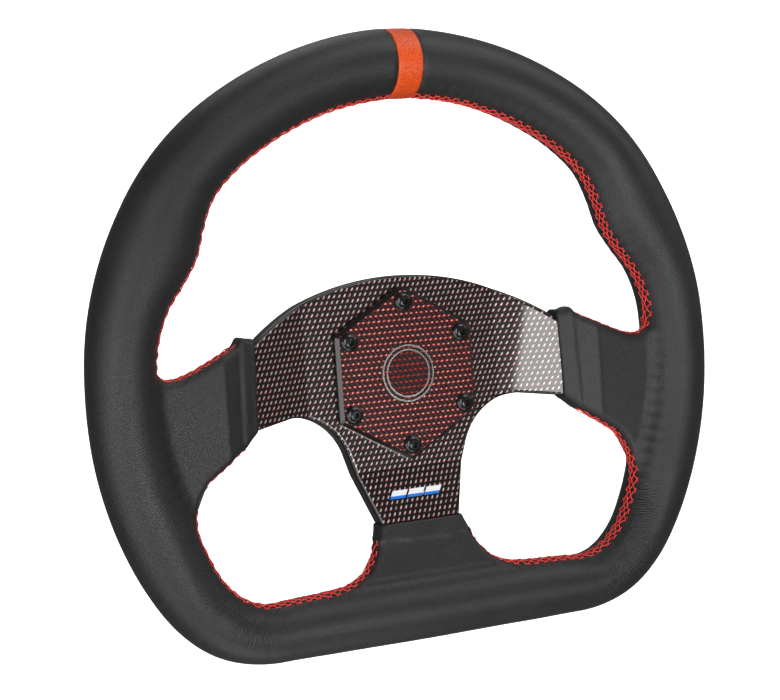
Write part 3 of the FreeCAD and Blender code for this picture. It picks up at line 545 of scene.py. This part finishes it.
# ---------------------------------------------------------------- materials
class Nodes:
    """A short way to write a node tree."""

    def __init__(self, name):
        self.material = bpy.data.materials.new(name)
        self.material.use_nodes = True
        self.tree = self.material.node_tree
        self.shader = self.tree.nodes["Principled BSDF"]

    def node(self, kind, inputs=(), **settings):
        made = self.tree.nodes.new(kind)
        for key, setting in settings.items():
            setattr(made, key, setting)
        for key, item in dict(inputs).items():
            self.put(made.inputs[key], item)
        return made

    def put(self, socket, item):
        if isinstance(item, bpy.types.NodeSocket):
            self.tree.links.new(item, socket)
        else:
            socket.default_value = item

    def math(self, operation, a, b=0.0, clamp=False):
        return self.node("ShaderNodeMath", {0: a, 1: b}, operation=operation, use_clamp=clamp).outputs[0]

    def place(self, scale):
        coordinates = self.node("ShaderNodeTexCoord").outputs["Object"]
        return self.node("ShaderNodeVectorMath", {0: coordinates, 3: scale}, operation="SCALE").outputs[0]

    def noise(self, vector, scale, detail=3.0, rough=0.5):
        inputs = {"Vector": vector, "Scale": scale, "Detail": detail, "Roughness": rough}
        return self.node("ShaderNodeTexNoise", inputs).outputs["Fac"]

    def ramp(self, value, low, high, low_to=0.0, high_to=1.0):
        return self.node("ShaderNodeMapRange", {0: value, 1: low, 2: high, 3: low_to, 4: high_to}).outputs[0]

    def blend(self, share, a, b):
        made = self.node("ShaderNodeMix", data_type="FLOAT")
        self.put(made.inputs["Factor"], share)
        self.put(made.inputs["A"], a)
        self.put(made.inputs["B"], b)
        return made.outputs["Result"]

    def mix(self, share, a, b):
        made = self.node("ShaderNodeMix", data_type="RGBA")
        self.put(made.inputs["Factor"], share)
        self.put(made.inputs["A"], a)
        self.put(made.inputs["B"], b)
        return made.outputs["Result"]

    def bump(self, height, strength, distance):
        inputs = {"Height": height, "Strength": strength, "Distance": distance}
        return self.node("ShaderNodeBump", inputs).outputs[0]

    def place_mm(self):
        return self.place(1 / MM)

    def product(self, first, *others):
        for other in others:
            first = self.math("MULTIPLY", first, other)
        return first

    def finish(self, **sockets):
        for key, item in sockets.items():
            self.put(self.shader.inputs[key.replace("_", " ")], item)
        return self.material


def grain(tree, place):
    """Leather grain: small uneven cells with fine creases between them."""
    warped = tree.node("ShaderNodeVectorMath", {0: place}, operation="ADD")
    wobble = tree.node("ShaderNodeTexNoise", {"Vector": place, "Scale": 0.5, "Detail": 2.0})
    small = tree.node("ShaderNodeVectorMath", {0: wobble.outputs["Color"], 3: 0.9}, operation="SCALE")
    tree.put(warped.inputs[1], small.outputs[0])
    cells = tree.node("ShaderNodeTexVoronoi", {"Vector": warped.outputs[0], "Scale": 0.95, "Randomness": 1.0},
                      feature="DISTANCE_TO_EDGE").outputs["Distance"]
    fine = tree.node("ShaderNodeTexVoronoi", {"Vector": warped.outputs[0], "Scale": 2.1},
                     feature="DISTANCE_TO_EDGE").outputs["Distance"]
    broad = tree.ramp(cells, 0.0, 0.16)
    tiny = tree.ramp(fine, 0.0, 0.2)
    return tree.math("ADD", tree.math("MULTIPLY", broad, 0.7), tree.math("MULTIPLY", tiny, 0.3))


FURROW_PITCH = 1.3             # along the rim core's lower corners


def corner_creases(tree, place):
    """Fine creases across the grip where it turns the lower corners, in broken patches."""
    parts = tree.node("ShaderNodeSeparateXYZ", {0: place})
    across = tree.math("SUBTRACT", tree.math("ABSOLUTE", parts.outputs["X"]), CORNER_X)
    up = tree.math("SUBTRACT", parts.outputs["Z"], CORNER_Z)
    turn = tree.math("ARCTAN2", up, across)
    warp = tree.noise(place, 0.16, 3.0, 0.6)
    phase = tree.math("ADD", tree.product(turn, math.pi * CORNER / FURROW_PITCH), tree.product(warp, 9.0))
    furrows = tree.math("POWER", tree.math("ABSOLUTE", tree.math("SINE", phase)), 5.0)
    here = tree.product(tree.ramp(turn, -1.75, -1.15), tree.ramp(turn, 0.35, -0.2))
    patches = tree.ramp(tree.noise(place, 0.09, 2.0), 0.40, 0.54)
    forward = tree.ramp(parts.outputs["Y"], RIM_PLANE - 4.0, RIM_PLANE - 9.0)
    reach = tree.math("SQRT", tree.math("ADD", tree.product(across, across), tree.product(up, up)))
    inner = tree.ramp(reach, CORNER + 11.0, CORNER + 4.0)
    on_right = tree.math("GREATER_THAN", parts.outputs["X"], 0.0)
    strength = tree.math("ADD", 0.5, tree.product(on_right, 0.5))
    return tree.product(furrows, here, patches, forward, inner, strength)


def leather_material(name, dark, light, rough, sheen, relief=0.10, creased_corners=False):
    """Grained leather with soft colour variation, painted shade in the grain's grooves and slightly polished
    areas.
    """
    tree = Nodes(name)
    place = tree.place_mm()
    pattern = grain(tree, place)
    patches = tree.noise(place, 0.022, 4.0, 0.6)
    specks = tree.noise(place, 0.8, 2.0, 0.5)
    shade = tree.math("ADD", tree.math("MULTIPLY", patches, 0.7), tree.math("MULTIPLY", specks, 0.3))
    colour = tree.mix(tree.ramp(shade, 0.3, 0.7), dark, light)
    # painted shade: the colour darkens to 0.55 of the dark tone in the grain's grooves, where the grain
    # height is low
    crease_shaded = tree.mix(tree.ramp(pattern, 0.25, 0.8), tuple(c * 0.55 for c in dark[:3]) + (1.0,), colour)
    polish = tree.ramp(tree.math("ADD", patches, tree.product(pattern, -0.35)), -0.1, 0.5, *rough)
    height = tree.math("ADD", pattern, tree.product(tree.noise(place, 0.35, 3.0), 0.8))
    if creased_corners:
        creases = corner_creases(tree, place)
        height = tree.math("ADD", height, tree.math("MULTIPLY", creases, -6.0))
        # painted shade: the colour goes almost black in the corner creases' furrows, where the bump dips
        crease_shaded = tree.mix(tree.math("MULTIPLY", creases, 0.75), crease_shaded, (0.002, 0.002, 0.002, 1))
    normal = tree.bump(height, 0.55, relief * MM)
    return tree.finish(Base_Color=crease_shaded, Roughness=polish, Normal=normal, Sheen_Weight=sheen,
                       Sheen_Roughness=0.4, Specular_IOR_Level=0.42)


def thread_material():
    """Waxed red thread: twisted strands with painted shade in the gaps between them."""
    tree = Nodes("red_thread_look")
    place = tree.place_mm()
    twist = tree.node("ShaderNodeTexWave", {"Vector": place, "Scale": 0.9, "Distortion": 2.2, "Detail": 1.0},
                      wave_type="BANDS", bands_direction="DIAGONAL").outputs["Fac"]
    fuzz = tree.noise(place, 4.0, 2.0)
    # painted shade: the colour darkens by about half in the gaps between the twisted strands
    colour = tree.mix(tree.ramp(twist, 0.1, 0.7), (0.45, 0.010, 0.007, 1), (1.0, 0.045, 0.028, 1))
    colour = tree.mix(tree.ramp(fuzz, 0.62, 0.8), colour, (0.95, 0.16, 0.10, 1))
    return tree.finish(Base_Color=colour, Roughness=tree.ramp(fuzz, 0.3, 0.7, 0.38, 0.6),
                       Normal=tree.bump(twist, 0.7, 0.12 * MM), Sheen_Weight=0.25, Sheen_Roughness=0.4)


def weave_material(name, pitch, mark, mark_size, fleck, fleck_size, fleck_place, lines, gloss):
    """Dark cloth with slanted marks of a second tow in a staggered grid, under a glossy coat.

    mark is the bright tow and fleck the small red one beside it; their sizes are shares of the pitch.
    """
    tree = Nodes(name)
    place = tree.place_mm()
    parts = tree.node("ShaderNodeSeparateXYZ", {0: place})
    normal = tree.node("ShaderNodeSeparateXYZ", {0: tree.node("ShaderNodeTexCoord").outputs["Normal"]})
    facing = [tree.math("ABSOLUTE", normal.outputs[axis]) for axis in ("X", "Y", "Z")]
    wall = tree.math("LESS_THAN", facing[1], 0.5)
    upright = tree.math("MULTIPLY", wall, tree.math("GREATER_THAN", facing[0], facing[2]))
    u_axis = tree.blend(upright, parts.outputs["X"], parts.outputs["Z"])
    v_axis = tree.blend(wall, parts.outputs["Z"], parts.outputs["Y"])
    v = tree.math("ADD", tree.math("DIVIDE", v_axis, pitch), 500.0)
    row = tree.math("FLOOR", v)
    shift = tree.math("MULTIPLY", tree.math("MODULO", row, 2.0), 0.5)
    u = tree.math("ADD", tree.math("DIVIDE", u_axis, pitch), tree.math("ADD", shift, 500.0))
    du = tree.math("MULTIPLY", tree.math("SUBTRACT", tree.math("FRACT", u), 0.5), pitch)
    dv = tree.math("MULTIPLY", tree.math("SUBTRACT", tree.math("FRACT", v), 0.5), pitch)
    uneven = tree.noise(place, 0.55, 2.0)
    broad = tree.noise(place, 0.045, 2.0)

    def spot(right, up, wide, tall, slant):
        a = tree.math("SUBTRACT", tree.math("SUBTRACT", du, right), tree.math("MULTIPLY", dv, slant))
        b = tree.math("SUBTRACT", dv, up)
        reach = tree.math("ADD", tree.math("POWER", tree.math("ABSOLUTE", tree.math("DIVIDE", a, wide)), 2.0),
                          tree.math("POWER", tree.math("ABSOLUTE", tree.math("DIVIDE", b, tall)), 2.0))
        return tree.ramp(reach, 1.15, 0.45)

    facing_out = tree.ramp(facing[1], 0.80, 0.92)
    bright = tree.product(spot(0.0, 0.1, *(pitch * share for share in mark_size), 0.5), facing_out)
    fleck_shares = fleck_place + fleck_size
    red = tree.product(spot(*(pitch * share for share in fleck_shares), 0.0), facing_out)
    diagonal = tree.product(tree.math("ADD", u_axis, v_axis), math.pi / pitch)
    stripe = tree.math("ABSOLUTE", tree.math("SINE", diagonal))
    stripe = tree.product(tree.ramp(stripe, 0.26, 0.08), facing_out, lines)
    shine = tree.product(bright, tree.ramp(uneven, 0.25, 0.7, 0.35, 1.0))
    cloth = tree.mix(tree.ramp(broad, 0.3, 0.7), (0.0045, 0.0035, 0.0038, 1), (0.009, 0.006, 0.0065, 1))
    colour = tree.mix(stripe, cloth, fleck)
    colour = tree.mix(tree.product(red, tree.ramp(uneven, 0.3, 0.65, 0.2, 1.0)), colour, fleck)
    colour = tree.mix(shine, colour, mark)
    relief = tree.bump(tree.math("ADD", bright, tree.math("MULTIPLY", uneven, 0.2)), 0.5, 0.12 * MM)
    coat_normal = tree.bump(tree.noise(place, 0.5, 5.0, 0.7), 0.05, 0.05 * MM)
    return tree.finish(Base_Color=colour, Roughness=tree.ramp(uneven, 0.3, 0.7, 0.3, 0.42),
                       Metallic=tree.product(bright, 0.3), Normal=relief, Coat_Weight=gloss,
                       Coat_Roughness=0.03, Coat_Normal=coat_normal, Specular_IOR_Level=0.15)


def shades(colour, dark):
    """A colour and its darker version, both opaque."""
    return tuple(c * dark for c in colour) + (1.0,), tuple(colour) + (1.0,)


def metal_material(name, colour, rough, metallic, scratch=0.5):
    """Metal with fine scratches, faint stains and slightly uneven polish."""
    tree = Nodes(name)
    place = tree.place_mm()
    stretched = tree.node("ShaderNodeVectorMath", {0: place, 1: (0.4, 3.0, 6.0)}, operation="MULTIPLY")
    lines = tree.noise(stretched.outputs[0], 0.8, 5.0, 0.7)
    stains = tree.noise(place, 0.15, 4.0)
    tint = tree.mix(tree.ramp(stains, 0.3, 0.75), *shades(colour, 0.7))
    polish = tree.ramp(lines, 0.3, 0.7, rough * 0.8, rough * 1.3)
    return tree.finish(Base_Color=tint, Metallic=metallic, Roughness=polish,
                       Normal=tree.bump(lines, 0.3 * scratch, 0.03 * MM))


def foam_material(name, colour, rough):
    """A moulded surface with slight mottling."""
    tree = Nodes(name)
    place = tree.place_mm()
    mottle = tree.noise(place, 0.6, 4.0)
    tint = tree.mix(tree.ramp(mottle, 0.3, 0.7), *shades(colour, 0.82))
    return tree.finish(Base_Color=tint, Roughness=tree.ramp(mottle, 0.3, 0.7, rough * 0.85, rough * 1.15),
                       Normal=tree.bump(mottle, 0.2, 0.05 * MM))


DECAL_DROP, DECAL_LINE = 58.5, 0.5     # the decal's middle, and how far under it the blue starts


def decal_material():
    """The decal's stripes: white, with a blue lower edge."""
    tree = Nodes("decal_look")
    parts = tree.node("ShaderNodeSeparateXYZ", {0: tree.place_mm()})
    low = tree.math("LESS_THAN", parts.outputs["Z"], -DECAL_DROP - DECAL_LINE)
    mottle = tree.noise(tree.place_mm(), 1.5, 3.0)
    white = tree.mix(mottle, (0.72, 0.74, 0.78, 1), (0.86, 0.88, 0.9, 1))
    colour = tree.mix(low, white, (0.01, 0.17, 0.72, 1))
    return tree.finish(Base_Color=colour, Roughness=tree.ramp(mottle, 0.3, 0.7, 0.3, 0.4), Coat_Weight=0.6)


def paint(material, *nodes):
    """Give a material to CAD nodes or pieces."""
    for item in nodes:
        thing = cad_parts[item] if isinstance(item, str) else item
        thing.data.materials.clear()
        thing.data.materials.append(material)


LEATHER_NODES = ("rim_leather", "arm_leather_right", "arm_leather_left", "arm_leather_lower")
THREAD_NODES = ("stitch_upper", "stitch_lower_right", "stitch_lower_left")
FOAM_NODES = ("foam_grip", "arm_pad_right", "arm_pad_left", "arm_pad_lower")
SCREW_NODES = ["hub_screw_%d" % (n + 1) for n in range(6)]
BLACK_SHADES = (0.014, 0.014, 0.0150, 1), (0.022, 0.022, 0.0234, 1)
ORANGE_SHADES = (0.76, 0.072, 0.003, 1), (0.88, 0.105, 0.005, 1)
SILVER, PINK = (0.80, 0.64, 0.60, 1), (1.0, 0.66, 0.58, 1)
RED, DEEP_RED = (0.62, 0.035, 0.03, 1), (0.34, 0.015, 0.016, 1)
WEAVE_PITCH = 2.75
DOT, SLANTED_DASH = (0.13, 0.16), (0.17, 0.31)              # sizes of the bright marks
WIDE_FLECK, SMALL_FLECK = (0.40, 0.17), (0.14, 0.16)
CENTRED, BESIDE = (0.0, 0.0), (-0.28, -0.2)

black_leather = leather_material("black_leather_look", *BLACK_SHADES, (0.36, 0.50), 0.03,
                                 creased_corners=True)
orange_leather = leather_material("orange_leather_look", *ORANGE_SHADES, (0.40, 0.5), 0.0, 0.05)
hub_weave = weave_material("hub_weave_look", WEAVE_PITCH, SILVER, SLANTED_DASH, DEEP_RED, SMALL_FLECK, BESIDE,
                           0.0, 0.85)
plate_weave = weave_material("plate_weave_look", WEAVE_PITCH, PINK, DOT, RED, WIDE_FLECK, CENTRED, 0.35, 0.85)
badge_weave = weave_material("badge_disc_look", WEAVE_PITCH, RED, DOT, DEEP_RED, WIDE_FLECK, CENTRED,
                             0.35, 0.9)
paint(black_leather, leather, *LEATHER_NODES)
paint(orange_leather, mark, "centre_mark_band")
paint(thread_material(), upper_lacing, lower_right_lacing, lower_left_lacing, *THREAD_NODES)
paint(hub_weave, "carbon_front_cover", "carbon_rear_cover")
paint(plate_weave, "hex_plate")
paint(badge_weave, "badge_disc")
paint(metal_material("screw_look", (0.05, 0.05, 0.053), 0.16, 0.8), *SCREW_NODES)
paint(metal_material("frame_look", (0.62, 0.62, 0.64), 0.35, 1.0, 1.0), "spoke_frame", "rim_core")
paint(metal_material("badge_ring_look", (0.42, 0.40, 0.39), 0.22, 1.0), "badge_ring")
paint(foam_material("foam_look", (0.02, 0.02, 0.021), 0.8), *FOAM_NODES)
paint(decal_material(), "arm_decal")

# ---------------------------------------------------------------- studio
FOCAL_MM = 90.8                # on a 36 mm wide sensor
CAMERA_RIGHT = Vector((0.8922, -0.4465, -0.0680))
CAMERA_UP = Vector((0.0911, 0.0305, 0.9954))
CAMERA_AHEAD = Vector((0.4424, 0.8942, -0.0678))
CAMERA_PLACE = Vector((-0.4298, -0.8641, 0.0766))
camera = bpy.data.objects.new("camera", bpy.data.cameras.new("camera"))
bpy.context.scene.collection.objects.link(camera)
camera.data.lens = FOCAL_MM
camera.data.sensor_width = 36.0
turned = Matrix((CAMERA_RIGHT, CAMERA_UP, -CAMERA_AHEAD)).transposed()
camera.matrix_world = Matrix.Translation(CAMERA_PLACE) @ turned.to_4x4()
camera.data.clip_end = 50.0
bpy.context.scene.camera = camera


FLOOR, CURVE_START = -0.75, 0.6


def backdrop():
    """A pale floor that curves up into a wall behind the wheel."""
    profile = [(-4.0, FLOOR), (CURVE_START, FLOOR)]
    for t in np.linspace(0.1, math.pi / 2, 14):
        profile.append((CURVE_START + math.sin(t), FLOOR + 1 - math.cos(t)))
    profile += [(CURVE_START + 1.0, 5.0)]
    verts = [(x, y, z) for x in (-6.0, 6.0) for y, z in profile]
    n = len(profile)
    faces = [(k, k + 1, n + k + 1, n + k) for k in range(n - 1)]
    mesh = bpy.data.meshes.new("studio_floor")
    mesh.from_pydata(verts, [], faces)
    mesh.polygons.foreach_set("use_smooth", [True] * len(mesh.polygons))
    sweep = bpy.data.objects.new("studio_floor", mesh)
    bpy.context.scene.collection.objects.link(sweep)
    tree = Nodes("studio_floor_look")
    tone = tree.noise(tree.place(1.0), 0.8, 2.0)
    colour = tree.mix(tone, (0.93, 0.93, 0.93, 1), (0.95, 0.95, 0.95, 1))
    tree.finish(Base_Color=colour, Roughness=0.9, Emission_Color=(1, 1, 1, 1), Emission_Strength=1.0)
    mesh.materials.append(tree.material)
    sweep.visible_diffuse = sweep.visible_glossy = False


def softbox(name, place, right, up, width, height, power):
    """A rectangular lamp at place whose sides run along right and up; it shines away from right x up."""
    lamp = bpy.data.lights.new(name, "AREA")
    lamp.shape = "RECTANGLE"
    lamp.size, lamp.size_y, lamp.energy = width, height, power
    holder = bpy.data.objects.new(name, lamp)
    bpy.context.scene.collection.objects.link(holder)
    across = Vector(right).normalized()
    back = across.cross(Vector(up)).normalized()
    turned = Matrix((across, back.cross(across), back)).transposed()
    holder.matrix_world = Matrix.Translation(place) @ turned.to_4x4()


def aimed_softbox(name, place, width, height, power):
    """A rectangular lamp that points at the middle of the wheel."""
    back = Vector(place).normalized()
    right = Vector((0, 0, 1)).cross(back)
    softbox(name, place, right, back.cross(right), width, height, power)


SOFTBOXES = [
    # name, place, width, height, watts
    ("top_light", (0.7, -0.6, 1.5), 1.4, 0.9, 11),
    ("front_left_light", (-1.10, -1.40, 0.25), 0.5, 1.4, 13.5),
    ("left_light", (-1.64, -0.62, -0.13), 0.8, 0.9, 8),
    ("right_light", (1.6, -0.5, 0.9), 0.5, 1.0, 4),
    ("low_light", (-1.15, -0.6, -0.95), 0.9, 0.9, 6),
    ("under_light", (-0.06, -0.20, -0.70), 0.5, 0.4, 1.5),
    ("back_light", (0.2, 0.8, 1.3), 0.8, 0.6, 3.5),
]
backdrop()
for box in SOFTBOXES:
    aimed_softbox(*box)
# Seen mirrored in the outer part of the right arm, its slanted corner just inside the hub's edge.
softbox("arm_light", (0.257, -1.784, -0.438), (0.954, -0.219, -0.202), (0.193, -0.093, 0.977), 1.1, 0.6, 19)

world = bpy.data.worlds.new("studio")
world.use_nodes = True
world.node_tree.nodes["Background"].inputs["Color"].default_value = (1, 1, 1, 1)
world.node_tree.nodes["Background"].inputs["Strength"].default_value = 0.11
bpy.context.scene.world = world
bpy.context.scene.view_settings.view_transform = "Standard"
